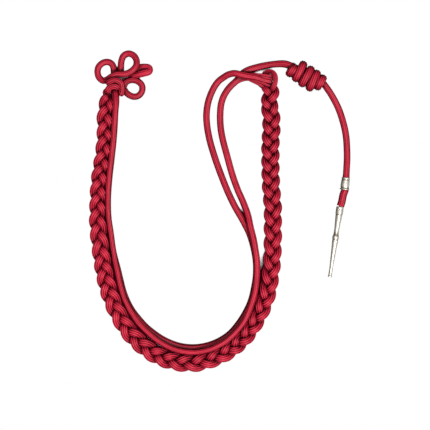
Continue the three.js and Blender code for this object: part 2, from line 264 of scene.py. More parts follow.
def pointAt(line, lengths, along):
    after = min(max(bisect.bisect_left(lengths, along), 1), len(line) - 1)
    share = (along - lengths[after - 1]) / ((lengths[after] - lengths[after - 1]) or 1)
    return line[after - 1].lerp(line[after], share)


def evenLine(rows, gap):
    line, lengths = bentLine(rows)
    steps = max(2, round(lengths[-1] / gap))
    return [pointAt(line, lengths, lengths[-1] * step / steps) for step in range(steps + 1)]


def placed(points, start=(0, 0, 0)):
    return [(Vector(point) + Vector(start) + originShift) * mm for point in points]


def lengthOf(points):
    return sum((q - p).length for p, q in zip(points, points[1:]))


# What the rows say at a share of the way, where a row is share along and value
def rowValue(rows, share):
    for (before, valueBefore), (after, valueAfter) in zip(rows, rows[1:]):
        if share <= after:
            return valueBefore + (valueAfter - valueBefore) * (share - before) / (after - before)
    return rows[-1][1]


def alongRows(points, rows):
    return [rowValue(rows, place / (len(points) - 1)) for place in range(len(points))]


# Red cord: one Geometry Nodes tree sweeps a ridged section along a line

cordFinish = {
    "bright": (0.78, 0.030, 0.072), "middle": (0.46, 0.012, 0.036), "deep": (0.17, 0.001, 0.009),
    "black": (0.02, 0.0, 0.002), "middleAt": 0.32, "deepAt": 0.68,
    "grooveShade": 0.72, "sideShade": 0.74, "hemShade": 0.95, "hemReach": 4.5 * mm, "hemSamples": 8,
    "streakShade": 0.95, "streakLength": 14 * mm, "streaksAround": 6.0, "streakDetail": 3.0,
    "streakRoughness": 0.6, "patchShade": 0.35, "patchesPerMetre": 45.0, "patchDetail": 1.0,
    "threadPitch": 0.55 * mm, "threadStarts": 3.0, "threadHeight": 0.5, "bump": 0.25, "bumpDepth": 0.2 * mm,
    "roughness": 0.5, "roughnessSpread": 0.3, "specular": 0.22,
}


def redCordMaterial(name, finish):
    material = bpy.data.materials.new(name)
    material.use_nodes = True
    nodes = Nodes(material.node_tree)
    shader = material.node_tree.nodes["Principled BSDF"]
    yarn = nodes.add("ShaderNodeAttribute", {"attribute_name": "yarn"})
    parts = nodes.add("ShaderNodeSeparateXYZ", Vector=yarn.outputs["Vector"])
    across, up, along = (nodes.value(parts, axis) for axis in "XYZ")
    streakPlace = nodes.add("ShaderNodeCombineXYZ", X=across * finish["streaksAround"],
                            Y=up * finish["streaksAround"], Z=along / finish["streakLength"])
    streak = nodes.noise(streakPlace.outputs[0], 1.0, finish["streakDetail"], finish["streakRoughness"])
    patchPlace = nodes.add("ShaderNodeCombineXYZ", X=across, Y=up, Z=along * finish["patchesPerMetre"])
    patch = nodes.noise(patchPlace.outputs[0], 1.0, finish["patchDetail"])
    # Painted shade: the colour darkens in the grooves, on sides that turn away from up, where the floor or
    # other cords hem the surface in, and by the stored painted shading rows; the streaks and patches are the
    # cord's own uneven tone
    hemmed = 1.0 - nodes.openness(finish["hemSamples"], Distance=finish["hemReach"])
    sideways = (1.0 - nodes.value(nodes.facing(), "Z")).clamped()
    shade = (nodes.stored("groove") * finish["grooveShade"] + sideways * finish["sideShade"]
             + (streak - 0.5) * finish["streakShade"] + (patch - 0.5) * finish["patchShade"]
             + hemmed * finish["hemShade"] + nodes.stored("dimness")).clamped()
    color = nodes.ramp(shade, [(0.0, finish["bright"]), (finish["middleAt"], finish["middle"]),
                               (finish["deepAt"], finish["deep"]), (1.0, finish["black"])])
    nodes.feed(shader.inputs["Base Color"], color)
    angle = up.math("ARCTAN2", across)
    wound = along * (2 * math.pi / finish["threadPitch"]) + angle * finish["threadStarts"]
    thread = (wound.cosine() * 0.5 + 0.5) * finish["threadHeight"]
    bump = nodes.add("ShaderNodeBump", Strength=finish["bump"], Distance=finish["bumpDepth"],
                     Height=thread + streak)
    nodes.feed(shader.inputs["Normal"], bump.outputs[0])
    nodes.feed(shader.inputs["Roughness"], (streak - 0.5) * finish["roughnessSpread"] + finish["roughness"])
    shader.inputs["Specular IOR Level"].default_value = finish["specular"]
    return material


cordInputs = (  # name, kind and default of what the cord tree takes
    ("Width", "Float", 6 * mm), ("Thickness", "Float", 6 * mm), ("Ridges", "Float", 10.0),
    ("Ridge depth", "Float", 0.2 * mm), ("Ridge shade", "Float", 1.0), ("Twist", "Float", 0.0),
    ("Sides", "Int", 48), ("Material", "Material", None),
)


class CordNodes(Nodes):  # the steps that the cord tree takes more than once
    def carried(self, name, kind):
        node = self.add("GeometryNodeInputNamedAttribute", {"data_type": kind}, Name=name)
        return node.outputs["Attribute"]

    def captured(self, geometry, name, value):
        node = self.add("GeometryNodeCaptureAttribute")
        node.capture_items.new("FLOAT", name)
        self.feed(node.inputs["Geometry"], geometry)
        self.feed(node.inputs[1], value)
        return node.outputs["Geometry"], self.value(node, 1)

    def kept(self, geometry, name, kind, value):
        node = self.add("GeometryNodeStoreNamedAttribute", {"data_type": kind, "domain": "POINT"},
                        Geometry=geometry, Name=name, Value=value)
        return node.outputs[0]


def cordTree():
    tree = bpy.data.node_groups.new("cordAlongLine", "GeometryNodeTree")
    face = tree.interface
    face.new_socket("Geometry", in_out="INPUT", socket_type="NodeSocketGeometry")
    for name, kind, value in cordInputs:
        socket = face.new_socket(name, in_out="INPUT", socket_type="NodeSocket" + kind)
        if value is not None:
            socket.default_value = value
    face.new_socket("Geometry", in_out="OUTPUT", socket_type="NodeSocketGeometry")
    nodes = CordNodes(tree)
    given = nodes.add("NodeGroupInput")

    # The line, with its section's sideways direction and the length along it
    line = nodes.add("GeometryNodeMeshToCurve", Mesh=given.outputs["Geometry"])
    turned = nodes.add("GeometryNodeSetCurveNormal", {"mode": "FREE"}, Curve=line.outputs[0],
                       Normal=nodes.carried("across", "FLOAT_VECTOR"))
    length = nodes.value(nodes.add("GeometryNodeSplineParameter"), "Length")
    measured, along = nodes.captured(turned.outputs[0], "along", length)

    # The section, a flattened circle
    ring = nodes.add("GeometryNodeCurvePrimitiveCircle", Resolution=given.outputs["Sides"], Radius=0.5)
    angle = nodes.value(nodes.add("GeometryNodeInputIndex")) / nodes.value(given, "Sides") * (2 * math.pi)
    marked, around = nodes.captured(ring.outputs["Curve"], "around", angle)
    shape = nodes.add("ShaderNodeCombineXYZ", X=angle.cosine() * nodes.value(given, "Width") * 0.5,
                      Y=angle.sine() * nodes.value(given, "Thickness") * 0.5)
    section = nodes.add("GeometryNodeSetPosition", Geometry=marked, Position=shape.outputs[0])

    # The cord, with grooves sunk between its yarns
    swept = nodes.add("GeometryNodeCurveToMesh", Curve=measured, Profile_Curve=section.outputs[0],
                      Scale=nodes.carried("fullness", "FLOAT"), Fill_Caps=True)
    wound = around * nodes.value(given, "Ridges") + along * nodes.value(given, "Twist") * (2 * math.pi)
    groove = 1.0 - (wound * 0.5).cosine().size()
    outward = nodes.add("GeometryNodeInputNormal")
    depth = nodes.add("ShaderNodeVectorMath", {"operation": "SCALE"}, in0=outward.outputs[0],
                      Scale=groove * nodes.value(given, "Ridge depth") * -1.0)
    ridged = nodes.add("GeometryNodeSetPosition", Geometry=swept.outputs[0], Offset=depth.outputs[0])

    # What the material reads
    yarn = nodes.add("ShaderNodeCombineXYZ", X=around.cosine(), Y=around.sine(), Z=along)
    withYarn = nodes.kept(ridged.outputs[0], "yarn", "FLOAT_VECTOR", yarn.outputs[0])
    # the stored groove, scaled by Ridge shade, sets how much shade the material paints into the grooves
    withGroove = nodes.kept(withYarn, "groove", "FLOAT", groove * nodes.value(given, "Ridge shade"))
    smooth = nodes.add("GeometryNodeSetShadeSmooth", Geometry=withGroove)
    real = nodes.add("GeometryNodeRealizeInstances", Geometry=smooth.outputs[0])
    painted = nodes.add("GeometryNodeSetMaterial", Geometry=real.outputs[0],
                        Material=given.outputs["Material"])
    nodes.add("NodeGroupOutput", Geometry=painted.outputs[0])
    return tree


cordBuilder = cordTree()
redCord = redCordMaterial("redCord", cordFinish)

evenlyFull = ((0, 1), (1, 1))
# rows with no painted shade
noShadingRows = ((0, 0), (1, 0))
endRounding = (0.55, 0.86, 0.97)  # how full a rounded end is, from its last point inwards


# How full the cord is at each point; rounded ends close in
def fullnessOf(points, rows=evenlyFull, rounded=False):
    fullness = alongRows(points, rows)
    if rounded:
        for place, share in enumerate(endRounding):
            fullness[place] *= share
            fullness[-1 - place] *= share
    return fullness


# A cord piece along its lines, each (points, fullness). size holds the tree's inputs apart from the material,
# across turns the section and the shading rows give share along and how much shade is painted on the cord
# there; below zero it is painted light.
def sweptCord(name, lines, size, across=None, dimness=noShadingRows):
    verts, edges, sides, fullness, dulled = [], [], [], [], []
    for points, full in lines:
        last = len(points) - 1
        edges += [(len(verts) + i, len(verts) + i + 1) for i in range(last)]
        for i in range(last + 1):
            tangent = (points[min(i + 1, last)] - points[max(i - 1, 0)]).normalized()
            side = across or tangent.cross(Vector((0, 0, 1)))
            sides.extend((side - tangent * side.dot(tangent)).normalized())
        verts += points
        fullness += full
        dulled += alongRows(points, dimness)
    mesh = bpy.data.meshes.new(name)
    mesh.from_pydata(verts, edges, [])
    mesh.attributes.new("across", "FLOAT_VECTOR", "POINT").data.foreach_set("vector", sides)
    mesh.attributes.new("fullness", "FLOAT", "POINT").data.foreach_set("value", fullness)
    mesh.attributes.new("dimness", "FLOAT", "POINT").data.foreach_set("value", dulled)
    guide = bpy.data.objects.new(name + "Guide", mesh)
    scene.collection.objects.link(guide)
    modifier = guide.modifiers.new("cord", "NODES")
    modifier.node_group = cordBuilder
    given = {**size, "Material": redCord}
    for item in cordBuilder.interface.items_tree:
        if item.in_out == "INPUT" and item.name in given:
            modifier[item.identifier] = given[item.name]
    evaluated = guide.evaluated_get(bpy.context.evaluated_depsgraph_get())
    piece = bpy.data.objects.new(name, bpy.data.meshes.new_from_object(evaluated))
    scene.collection.objects.link(piece)
    bpy.data.objects.remove(guide)
    return piece


def finished(piece, slot, *nodes):
    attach(piece, "root")
    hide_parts(*nodes)
    return piece


# Free cords

plainCord = {
    "Width": 6.8 * mm, "Thickness": 6.4 * mm, "Ridges": 9.0, "Ridge depth": 0.2 * mm, "Ridge shade": 0.65,
    "Twist": 2.0, "Sides": 72,
}
cordGap = 2.0 * mm  # between a free cord's points
low, high = 3.2, 9.7  # heights of a cord on the surface and of one that lies on another

# The routes' points are millimetres across, up the U and above the surface, from the part's origin or, where
# it says so, from another place.
outerLoopRoute = [
    (85.5, 129.4, 6.6), (77.6, 131.2, 8.4), (71.5, 133.2, high), (65.2, 134.4, high), (59, 135.4, high),
    (54.9, 136.3, high), (49.9, 137.4, 9.2), (46.6, 137.2, 8), (42.4, 135.9, 6.8), (38.3, 133.4, 5),
    (34.1, 130.4, 3.8), (30.4, 125.9, low), (26.2, 117.9, low), (22.9, 108, low), (21.4, 96, low),
    (22.2, 84, low), (24.9, 70, low), (29, 56, low), (34, 41.5, low), (42.5, 19.9, low), (49.9, 4.4, low),
    (58.1, -9.9, low), (64.6, -23.1, low), (68.6, -36.5, low), (71, -51, low), (71, -65, low),
    (69.3, -76.5, low), (66.2, -89.5, low), (60.6, -101.9, low), (53.4, -113.1, low), (43.8, -123.8, low),
    (29.2, -132.4, low), (12.2, -136.5, low), (-4.6, -135.4, low), (-21.3, -129.1, low),
    (-37.9, -117.3, low), (-46, -108.7, low), (-54, -98.2, low), (-60.9, -83.6, low), (-67.6, -58.1, low),
    (-72.1, -40.4, low), (-74.6, -22.6, low), (-77, -6, low), (-77.4, 13, low), (-76.2, 31, low),
    (-73.5, 55, low), (-71.6, 73, low), (-70.2, 96, low), (-70.2, 110.5, low),
]
outerLoopFullness = ((0, 0.9), (0.04, 1.04), (0.07, 1), (1, 1))
# painted shade along the outer loop cord, deepest along the bottom, where the inner loop cord shades it
outerLoopPaintedShade = (
    (0, 0.04), (0.3, 0.1), (0.42, 0.2), (0.5, 0.28), (0.72, 0.28), (0.82, 0.15), (1, 0.1),
)

fanYarns = [  # end of each yarn of the outer loop cord, in the right head's bight
    (89, 134.3, 7.2), (89.6, 131.1, 7), (89, 127.6, 6.6), (87.2, 124, 6.2), (84.4, 121, 6),
]
fan = {  # where the yarns start and how they arch; a loss is for each yarn away from the middle one
    "start": (58, 135.6), "height": 10.4, "heightLoss": 0.5, "apart": 0.75, "lean": 0.15,
    "middleShare": 0.55, "middleOut": 0.4, "arch": 1.6, "archLoss": 0.3, "gap": 1.4 * mm,
    "fullness": ((0, 0.3), (0.3, 0.46), (1, 0.5)),
}

innerLoopRoute = [
    (-70.2, 119.8, 6.4), (-69.4, 114.4, 9.4), (-69.1, 106, 12), (-69.7, 93, 13), (-71.1, 73, 13),
    (-73, 55, 13), (-75.9, 31, 12.8), (-76.8, 13, 12.4), (-76.3, -6, 11.2), (-73.9, -22.6, high),
    (-71.4, -40.4, 9.4), (-68.1, -58.3, 9.3), (-60.7, -87.1, 9.3), (-48.9, -108.6, 9.3),
    (-38.3, -120.1, 9.4), (-25.8, -130.4, 9.8), (-10, -138.3, 10.4), (9, -141.1, 11.4),
    (24.5, -138.3, 12.4), (36, -132.9, 13.2), (44.5, -127, 13.4), (59.6, -109.2, 13.2), (68.3, -86.9, 11.4),
    (71.4, -69, 9.6), (71.8, -51.7, 9.6), (70.1, -38.3, 9.4), (68.2, -27.6, 8.8), (65.3, -15.9, 7.6),
    (62.8, -4.2, 5.4), (58.3, 8.3, low), (52.9, 20.6, low), (47.4, 35.8, low), (41.6, 56.7, low),
    (37.8, 71, low), (35.8, 81.7, low), (35.1, 90.6, low), (35.2, 99, low), (36, 106.7, low),
    (38.2, 113.9, low), (42, 120.6, low), (46.4, 125.8, low), (50.6, 129.6, low), (54, 133.4, low),
    (57.4, 137.7, low), (63, 141.1, low), (72, 143.9, low), (80.9, 145.8, 3.8), (89.8, 146.9, 5),
    (98.8, 147, 7), (104.4, 145.3, 8.9), (107.4, 143.4, 9.4),
]
innerLoopFullness = (
    (0, 1.22), (0.018, 1.12), (0.03, 0.96), (0.1, 0.9), (0.16, 0.82), (0.52, 0.8), (0.58, 0.96), (0.62, 1),
    (0.97, 1), (0.985, 1.1), (1, 1.12),
)
# painted shade along the inner loop cord
innerLoopPaintedShade = ((0, 0.07), (0.3, 0.07), (0.45, 0.03), (0.6, 0.04), (0.86, 0.06), (0.92, 0.1), (1, 0.08))

pendantStart = (103.9, 145.1, 0)  # the pendant's route, knot and metal are measured from here
pendantRoute = [
    (31, -13.4, 9.6), (34.6, -18, 8.8), (38.1, -22.6, 7.8), (41.6, -27.6, 6.4), (46.5, -35.9, 4.6),
    (50.4, -44.2, 3.5), (53.3, -52.6, low), (55.9, -62.4, low), (57.5, -72.2, low), (58.2, -84, low),
    (58.3, -92.9, low), (57.8, -101.9, 3.9), (57.2, -111, 4.7), (56.4, -117.8, 4.9), (56, -124.5, 4.7),
    (54.5, -128.4, 4.3), (52.9, -136.1, 3.8), (51.5, -140.3, 3.7),
]
pendantFullness = ((0, 1), (0.76, 1), (0.8, 1.14), (1, 1.14))
# painted shade along the whole pendant cord
pendantPaintedShade = ((0, 0.09), (1, 0.09))


def freeCord(name, route, fullness, dimness, nodes, start=(0, 0, 0)):
    points = evenLine(placed(route, start), cordGap)
    piece = sweptCord(name, [(points, fullnessOf(points, fullness))], plainCord, dimness=dimness)
    finished(piece, "red_cord", *nodes)
    print(name, "is", round(lengthOf(points), 3), "m long")
    return piece, points


# The outer loop cord's end, opened into yarns that fan out
def fanLines():
    lines = []
    for place, end in enumerate(fanYarns):
        side = (len(fanYarns) - 1) / 2 - place
        start = Vector((*fan["start"], fan["height"] - fan["heightLoss"] * abs(side)))
        start += Vector((fan["lean"], 1, 0)) * side * fan["apart"]
        middle = start.lerp(Vector(end), fan["middleShare"])
        middle += Vector((0, fan["middleOut"], fan["arch"] - fan["archLoss"] * abs(side)))
        points = evenLine(placed([start, middle, end]), fan["gap"])
        lines.append((points, fullnessOf(points, fan["fullness"], rounded=True)))
    return lines


outerLoop, outerPoints = freeCord("outerLoopCord", outerLoopRoute, outerLoopFullness, outerLoopPaintedShade,
                                  ["outer_loop_cord"])
cordFan = finished(sweptCord("outerCordFan", fanLines(), plainCord), "red_cord", "outer_loop_cord")
innerLoop, innerPoints = freeCord("innerLoopCord", innerLoopRoute, innerLoopFullness, innerLoopPaintedShade,
                                  ["inner_loop_cord"])
pendantCord, pendantPoints = freeCord("pendantCord", pendantRoute, pendantFullness, pendantPaintedShade,
                                      ["pendant_cord_upper", "pendant_cord_lower"], pendantStart)
print("free cords made")


# Plait

plait = {
    "legSpan": 175, "drop": 271, "height": 6.2, "lift": 1.9, "cornerX": -87.3, "cornerY": 119,
    "swing": 5.55, "rise": 3.5, "steepness": 0.15, "scallopPitch": 14.3, "scallopFraction": 0.815,
    "headPhase": -1.76, "headingReach": 2, "samples": 600, "bend": math.pi / 12, "gap": 1.2 * mm,
    "fullUntil": 0.96, "taperedFrom": 0.985,
}
plaitStrand = {
    "Width": 7.8 * mm, "Thickness": 5.8 * mm, "Ridges": 9.0, "Ridge depth": 0.6 * mm, "Ridge shade": 0.8,
    "Twist": 0.0, "Sides": 54,
}
# painted light on the plait strands, strongest along the left leg, where the loop cords would shade it
plaitPaintedLight = ((0, -0.07), (0.58, -0.07), (0.66, -0.17), (0.97, -0.17), (1, -0.1))
plaitLine = [  # across the span, down the drop, share of the lift
    (0.979, -0.03, 0), (0.983, 0.03, 0), (0.986, 0.14, 0), (0.987, 0.295, 0), (1.0, 0.48, 0),
    (0.999, 0.613, 0), (0.982, 0.708, 0), (0.932, 0.804, 0), (0.836, 0.9, 0), (0.699, 0.969, 0),
    (0.527, 1.0, 0), (0.356, 0.976, 0), (0.196, 0.895, 0), (0.093, 0.779, 0), (0.03, 0.635, 0),
    (0.002, 0.469, 0.4), (0.005, 0.343, 1), (0.036, 0.199, 1), (0.05, 0.074, 1), (0.082, -0.015, 1),
]
plaitTightness = [  # place along the plait, pitch of a scallop against the average
    (0.0, 0.87), (0.13, 0.88), (0.2, 0.98), (0.34, 1.07), (0.6, 1.05), (0.82, 1.03), (0.93, 0.93),
    (0.96, 1.1), (1.0, 1.15),
]
plaitDrift = [  # along the plait, how much further along the scallops are, how much further out
    (0, 1, 0.4), (9, 1, 0.8), (18, 1.2, -0.9), (29, 1.6, 1.1), (40, 2, 1.3), (60, 1.5, 0.2),
    (100, 1.7, 0.1), (122, 1.9, 0.7), (140, 2.2, 0.1), (170, 3.5, -0.3), (190, 3.4, -0.7), (207, 3.2, 0.1),
    (243, 2.8, 0.5), (260, 1.6, 1.0), (282, -1.3, 0.8), (300, -1.5, 0.5), (335, 0, 0), (365, -1.2, 0.4),
    (400, -1, 0.5), (430, 0.2, 0.7), (452, -1.4, 0.5), (476, -2.6, -0.1), (505, -0.5, 0.1),
    (530, -0.4, -0.8), (570, 0, -1), (590, 2.1, -1), (612, 3.8, 0), (643, 1.5, 0),
]
strandStarts = [  # points of each strand before its first turn, from the right head
    [(-34.6, 1.6, 3.4), (-30, 4.2, 3.6), (-25, 5.9, 3.8), (-20.2, 6.3, 3.8), (-15.3, 6.1, 3.6),
     (-11, 3.8, 3.6), (-7.8, -0.3, 3.8)],
    [],
    [(-6.5, 8.7, 3), (-3.5, 11.2, 4.6), (0, 12.3, 6.4), (3.3, 11.5, 8.4), (5.7, 8.7, 9.8), (6.4, 5.2, 10.4),
     (6.2, 1.8, 10.6), (5.3, -1.4, 10.4), (3.8, -4.4, 9.2), (1.2, -7.2, 6.4)],
]
strandHeads = [  # points of the plait left out at the head, and rows of share along and fullness
    (0, ((0, 0.8), (0.05, 0.84), (0.08, 1))),
    (0, ((0, 1), (0.05, 1))),
    (4, ((0, 0.64), (0.045, 0.69), (0.075, 1))),
]
strandEnds = [  # how many scallops short of the end, the fullness there, and the points after that
    (0.9, 1, []),
    (0.45, 0.9, [(-4.5, -3.2, 9.4), (-2.1, 0.1, 10.8), (1.6, 1.6, 11.6), (4.9, 1.1, 11.2), (7, -1.8, 9.6)]),
    (0.6, 1, []),
]

plaitCentre, plaitLengths = bentLine([
    (plait["cornerX"] + across * plait["legSpan"], plait["cornerY"] - down * plait["drop"],
     plait["height"] + lift * plait["lift"])
    for across, down, lift in plaitLine])
wholeScallops = int(plaitLengths[-1] / plait["scallopPitch"])
allScallops = wholeScallops + plait["scallopFraction"]
turnPerScallop = 2 * math.pi / 3
rightHead, leftHead = (Vector((end.x, end.y, 0)) for end in (plaitCentre[0], plaitCentre[-1]))

scallopsDone = [0.0]  # scallops done up to each sample along the plait, in a measure that shareAt scales
for sample in range(plait["samples"]):
    pitch = rowValue(plaitTightness, (sample + 0.5) / plait["samples"])
    scallopsDone.append(scallopsDone[-1] + 1 / pitch)


# The share of the plait's length at which that many scallops are done
def shareAt(scallops):
    wanted = scallops / allScallops * scallopsDone[-1]
    after = min(max(bisect.bisect_left(scallopsDone, wanted), 1), plait["samples"])
    before = scallopsDone[after - 1]
    return (after - 1 + (wanted - before) / (scallopsDone[after] - before)) / plait["samples"]


# How much further along and further out the scallops are there
def driftAt(along):
    for (start, *driftBefore), (end, *driftAfter) in zip(plaitDrift, plaitDrift[1:]):
        if along <= end:
            t = (along - start) / (end - start)
            t *= t * (3 - 2 * t)
            return [a + (b - a) * t for a, b in zip(driftBefore, driftAfter)]
    return plaitDrift[-1][1:]


# A strand swings from side to side once for each two times that it rises and dips
def strandPoint(index, phase):
    along = shareAt((phase - plait["headPhase"]) / turnPerScallop - index) * plaitLengths[-1]
    furtherAlong, furtherOut = driftAt(along)
    along += furtherAlong
    centre, ahead, behind = (pointAt(plaitCentre, plaitLengths, along + reach)
                             for reach in (0, plait["headingReach"], -plait["headingReach"]))
    heading = ahead - behind
    outward = Vector((-heading.y, heading.x, 0)).normalized()
    point = centre + outward * (plait["swing"] * math.sin(phase) + furtherOut)
    point.z -= plait["rise"] * (math.sin(2 * phase) + plait["steepness"] * math.sin(4 * phase))
    return point


def plaitStrandPiece(index):
    short, fullAtEnd, leaving = strandEnds[(index + wholeScallops) % 3]
    leftOut, headFullness = strandHeads[index]
    first = plait["headPhase"] + index * turnPerScallop
    last = first + (allScallops - short) * turnPerScallop
    rows = [Vector(row) + rightHead for row in strandStarts[index]]
    step = math.ceil(first / plait["bend"]) + leftOut
    while step * plait["bend"] <= last:
        rows.append(strandPoint(index, step * plait["bend"]))
        step += 1
    rows += [Vector(row) + leftHead for row in leaving]
    points = evenLine(placed(rows), plait["gap"])
    fullness = (*headFullness, (plait["fullUntil"], 1), (plait["taperedFrom"], fullAtEnd), (1, fullAtEnd))
    lines = [(points, fullnessOf(points, fullness, rounded=True))]
    strand = sweptCord("plaitStrand" + "ABC"[index], lines, plaitStrand, dimness=plaitPaintedLight)
    return finished(strand, "red_cord", f"plait_strand_{index + 1}")


for index in range(3):
    plaitStrandPiece(index)
print("plait made,", wholeScallops, "scallops")


# Trefoil and button loop at the left head

petalCord = {**plainCord, "Width": 6.6 * mm, "Thickness": 6.2 * mm}
collarCord = {
    "Width": 6.3 * mm, "Thickness": 5.2 * mm, "Ridges": 8.0, "Ridge depth": 0.35 * mm,
    "Twist": 0.0, "Sides": 48,
}
buttonCord = {
    "Width": 7.3 * mm, "Thickness": 5.4 * mm, "Ridges": 9.0, "Ridge depth": 0.35 * mm, "Ridge shade": 0.4,
    "Twist": 0.0, "Sides": 54,
}
trefoilGap = 1.0 * mm  # between the points of the trefoil's cords, which are measured from the left head
trefoilRoute = [
    (1.5, 13.5, 3.1), (1.4, 19.7, 3.1), (-0.4, 24.1, 3.2), (-4.4, 26.1, 3.4), (-9.4, 25.1, 3.6),
    (-13.5, 21.2, 3.6), (-14.6, 16.1, 3.8), (-13, 10.6, 4.4), (-8.9, 7.3, 5.6), (-4.4, 8.5, 7.6),
    (-0.4, 11.1, 9.4), (4.9, 13.3, 9.8), (10.5, 13.5, 9.8), (16, 14.6, 9.8), (20.9, 17.7, 9.9),
    (24.1, 21.9, 9), (24.5, 27.3, 7), (21.4, 32.5, 5), (16.3, 34.5, 3.8), (11.6, 32.5, 3.3),
    (9.3, 27.4, 3.1), (8.7, 20.9, 3.1), (8.6, 13.5, 3.1),
]
petalRoute = [
    (11.9, -0.6, 3.1), (12.1, 3.3, 3.1), (14.5, 6.5, 3.1), (18.8, 8.1, 3.1), (23.8, 7.6, 3.1),
    (27.7, 5.4, 3.1), (29.9, 2.2, 3.1), (30.2, -1.5, 3.1), (28.8, -5.2, 3.1), (26, -7.8, 3.1),
    (22.4, -8.7, 3.1), (18.6, -7.8, 3.1), (14.9, -5.4, 3.1), (12.7, -2.4, 3.1), (12.1, 0.4, 3.1),
]
collarRoute = [
    (-5.4, 3.7, 11.6), (-2.5, 5.4, 13.2), (0.9, 7.1, 14), (4.7, 7.2, 14), (8.7, 4.7, 12.8),
    (10.1, -0.1, 10.8), (9.5, -4.8, 9), (8, -8.1, 8.2),
]
buttonLoopRoute = [
    (19.6, 16.5, 3), (24, 19.4, 3), (29, 20.8, 3.4), (33.6, 20.9, 4.2), (36.6, 20.2, 5), (37.5, 18.1, 6),
    (36.6, 16.1, 7), (33, 15, 7), (28.5, 14, 6), (23.2, 13, 4.4), (18.5, 12.2, 3.2),
]
# the fourth column is the painted shade along each cord
for name, route, size, dull, node in (
    ("trefoilCord", trefoilRoute, petalCord, 0.03, "trefoil_cord"),
    ("trefoilPetal", petalRoute, petalCord, 0.12, "trefoil_petal"),
    ("trefoilCollar", collarRoute, collarCord, 0.0, "trefoil_collar"),
    ("buttonLoop", buttonLoopRoute, buttonCord, 0.0, "button_loop"),
):
    points = evenLine(placed(route, leftHead), trefoilGap)
    lines = [(points, fullnessOf(points, rounded=True))]
    finished(sweptCord(name, lines, size, dimness=((0, dull), (1, dull))), "red_cord", node)
print("trefoil made")


# Pendant knot

knot = {"centreHeight": 9.3, "rise": 5.7, "stepsPerTurn": 16}
knotCord = {
    "Width": 8.3 * mm, "Thickness": 6.6 * mm, "Ridges": 10.0, "Ridge depth": 0.6 * mm, "Ridge shade": 0.7,
    "Twist": 60.0, "Sides": 60,
}
knotWraps = [  # lower and upper end of each wrap's middle line, as seen from above
    ((0.3, -8.4), (6.4, -1.6)), ((6.6, -13.4), (14.4, 1.8)), ((12.9, -18.5), (21.9, -3.1)),
    ((20.3, -22.7), (28, -7.1)), ((28.2, -21.6), (33.9, -11.9)),
]
knotEnds = ((4.4, 0.6), (31.6, -17))


def knotPiece():
    places = [knotEnds[0], *(end for wrap in knotWraps for end in wrap), knotEnds[1]]
    turns = [Vector((*place, 0)) for place in places]
    rows = []
    for place, (before, after) in enumerate(zip(turns, turns[1:])):
        over = 1 if place % 2 else -1  # each wrap goes up over the core, then back down under it
        for step in range(knot["stepsPerTurn"]):
            t = math.pi * step / knot["stepsPerTurn"]
            row = before.lerp(after, (1 - math.cos(t)) / 2)
            row.z = knot["centreHeight"] + over * knot["rise"] * math.sin(t)
            rows.append(row)
    axis = (turns[-2] + turns[-3] - turns[1] - turns[2]).normalized()
    points = placed(rows, pendantStart)
    return sweptCord("pendantKnot", [(points, fullnessOf(points, rounded=True))], knotCord, across=axis)


knotObject = finished(knotPiece(), "red_cord", "pendant_knot")
print("knot made")


# Metal bead and tip

metalFinish = {
    "color": (0.90, 0.85, 0.74), "tarnishAndShadeColor": (0.27, 0.21, 0.15), "metallic": 0.5,
    "sideShade": 0.3, "leftShade": 0.62,
    "cloudScale": 220.0, "cloudDetail": 4.0, "cloudMiddle": 0.62, "cloudShade": 0.9,
    "scratchScale": (2600.0, 160.0, 2600.0), "scratchDetail": 2.0,
    "roughness": 0.3, "scratchRoughness": 0.16, "cloudRoughness": 0.1, "bump": 0.05, "bumpDepth": 0.05 * mm,
}


def nickelMaterial(name, finish):
    material = bpy.data.materials.new(name)
    material.use_nodes = True
    nodes = Nodes(material.node_tree)
    shader = material.node_tree.nodes["Principled BSDF"]
    place = nodes.add("ShaderNodeTexCoord").outputs["Object"]
    cloud = nodes.noise(place, finish["cloudScale"], finish["cloudDetail"])
    stretch = nodes.add("ShaderNodeMapping", Vector=place, Scale=finish["scratchScale"])
    scratch = nodes.noise(stretch.outputs[0], 1.0, finish["scratchDetail"])
    # The dark colour mixes in the stored tarnish in hollows and dimples, uneven tone from the cloud, and
    # painted shade on the sides and on the side that faces left
    facing = nodes.facing()
    sideways = (1.0 - nodes.value(facing, "Z")).clamped()
    leftward = (nodes.value(facing, "X") * -1.0).clamped()
    tarnishAndShade = (nodes.stored("dull") + (cloud - finish["cloudMiddle"]) * finish["cloudShade"]
            + sideways * finish["sideShade"] + leftward * finish["leftShade"]).clamped()
    nodes.feed(shader.inputs["Base Color"], nodes.blend(tarnishAndShade, (*finish["color"], 1), (*finish["tarnishAndShadeColor"], 1)))
    shader.inputs["Metallic"].default_value = finish["metallic"]
    nodes.feed(shader.inputs["Roughness"], (scratch - 0.5) * finish["scratchRoughness"]
               + (cloud - 0.5) * finish["cloudRoughness"] + finish["roughness"])
    bump = nodes.add("ShaderNodeBump", Strength=finish["bump"], Distance=finish["bumpDepth"],
                     Height=scratch + cloud)
    nodes.feed(shader.inputs["Normal"], bump.outputs[0])
    return material


nickel = nickelMaterial("nickel", metalFinish)

bead = {
    "length": 12.2, "barrel": 8.8, "flange": 9.8, "flangeLength": 1.1, "neck": 7.9, "bore": 6.9,
    "centre": (56.3, -117.8, 4.9), "lean": -7, "rounding": 0.22, "cut": 0.4, "sides": 64,
}
tip = {
    "length": 71.0, "band": 7.4, "bulge": 6.5, "neck": 4.9, "end": 3.5, "rim": 4.1, "core": 0.04,
    "top": (51.3, -140.8), "lean": -8.3, "clearance": 0.05, "bandMiddle": 0.05, "bulgeMiddle": 0.44,
    "dimples": 6, "dimpleTurn": 0.35, "dimpleAt": -0.042, "dimpleSize": 0.75, "dimpleDepth": 0.45,
    "rounding": 0.3, "cut": 0.3, "sides": 56,
}
cornerSteps = 3


